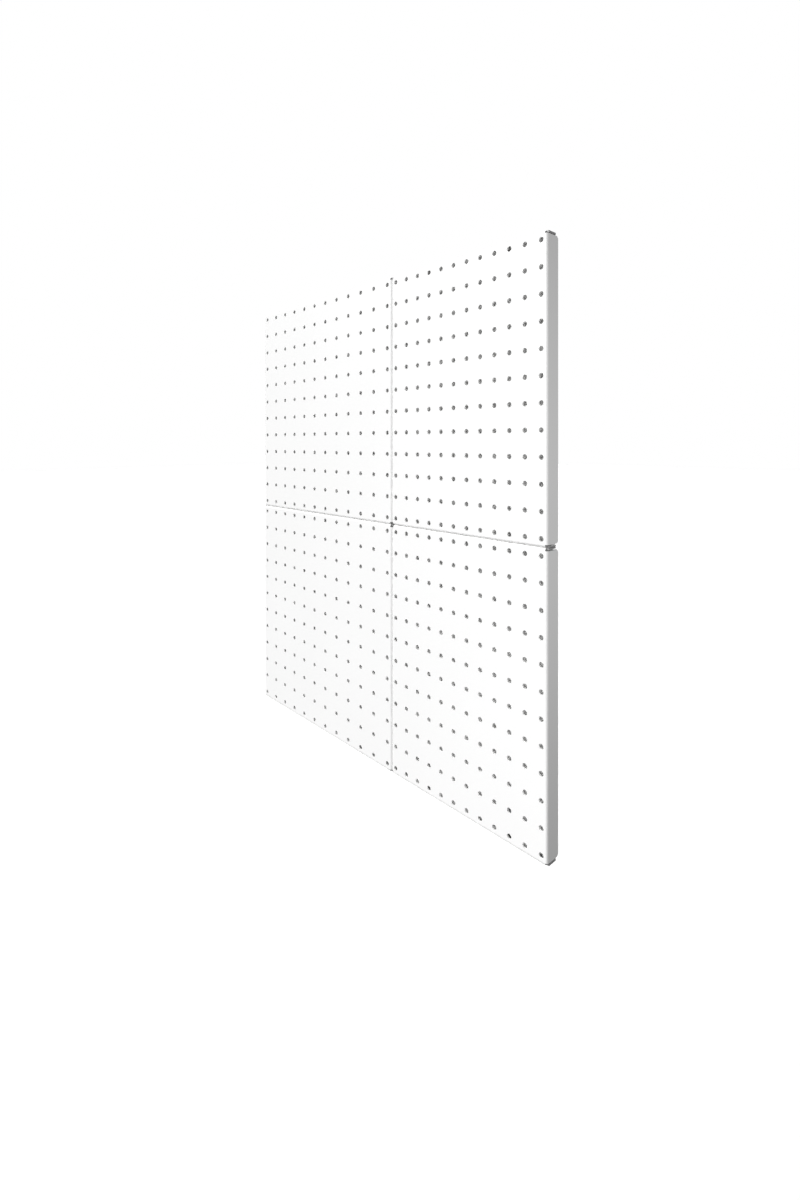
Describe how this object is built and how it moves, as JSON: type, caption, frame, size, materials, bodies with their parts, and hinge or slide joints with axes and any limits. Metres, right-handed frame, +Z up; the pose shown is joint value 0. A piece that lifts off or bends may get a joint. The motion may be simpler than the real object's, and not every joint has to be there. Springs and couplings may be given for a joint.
{
  "type": "perforated wall display board",
  "caption": "Wall-mounted perforated steel display board with a two-by-two array of clip-on folded trays over back pans and wall rails.",
  "frame": {"origin": "middle of the board, on the wall plane, at the back of the middle wall rail", "axes": "+Z up, +Y into the wall, +X to the right for someone facing the board"},
  "size_m": [0.5106, 0.0215, 0.5904],
  "materials": {
    "white_powder_coat": "satin white powder coat",
    "galvanised_steel": "galvanised sheet",
    "spring_steel": "bright stainless spring steel",
    "zinc_plate": "bright zinc plate",
    "white_rubber": "moulded silicone rubber"
  },
  "bodies": {
    "wall_mounting": {"back_pan_upper_left": "white_powder_coat", "spring_clips_upper_left": "spring_steel", "bumpers_upper_left": "white_rubber", "pan_screws_upper_left": "zinc_plate", "back_pan_upper_right": "white_powder_coat", "spring_clips_upper_right": "spring_steel", "bumpers_upper_right": "white_rubber", "pan_screws_upper_right": "zinc_plate", "back_pan_lower_left": "white_powder_coat", "spring_clips_lower_left": "spring_steel", "bumpers_lower_left": "white_rubber", "pan_screws_lower_left": "zinc_plate", "back_pan_lower_right": "white_powder_coat", "spring_clips_lower_right": "spring_steel", "bumpers_lower_right": "white_rubber", "pan_screws_lower_right": "zinc_plate", "wall_rail_top": "galvanised_steel", "wall_rail_middle": "galvanised_steel", "wall_rail_bottom": "galvanised_steel"},
    "tray_upper_left": {"panel_upper_left": "white_powder_coat"},
    "tray_upper_right": {"panel_upper_right": "white_powder_coat"},
    "tray_lower_left": {"panel_lower_left": "white_powder_coat"},
    "tray_lower_right": {"panel_lower_right": "white_powder_coat"}
  },
  "joints": [
    {"name": "pull_off_upper_left", "type": "slide", "parent": "wall_mounting", "child": "tray_upper_left", "axis": [0, -1, 0], "range_m": [0, 0.04]},
    {"name": "pull_off_upper_right", "type": "slide", "parent": "wall_mounting", "child": "tray_upper_right", "axis": [0, -1, 0], "range_m": [0, 0.04]},
    {"name": "pull_off_lower_left", "type": "slide", "parent": "wall_mounting", "child": "tray_lower_left", "axis": [0, -1, 0], "range_m": [0, 0.04]},
    {"name": "pull_off_lower_right", "type": "slide", "parent": "wall_mounting", "child": "tray_lower_right", "axis": [0, -1, 0], "range_m": [0, 0.04]}
  ]
}
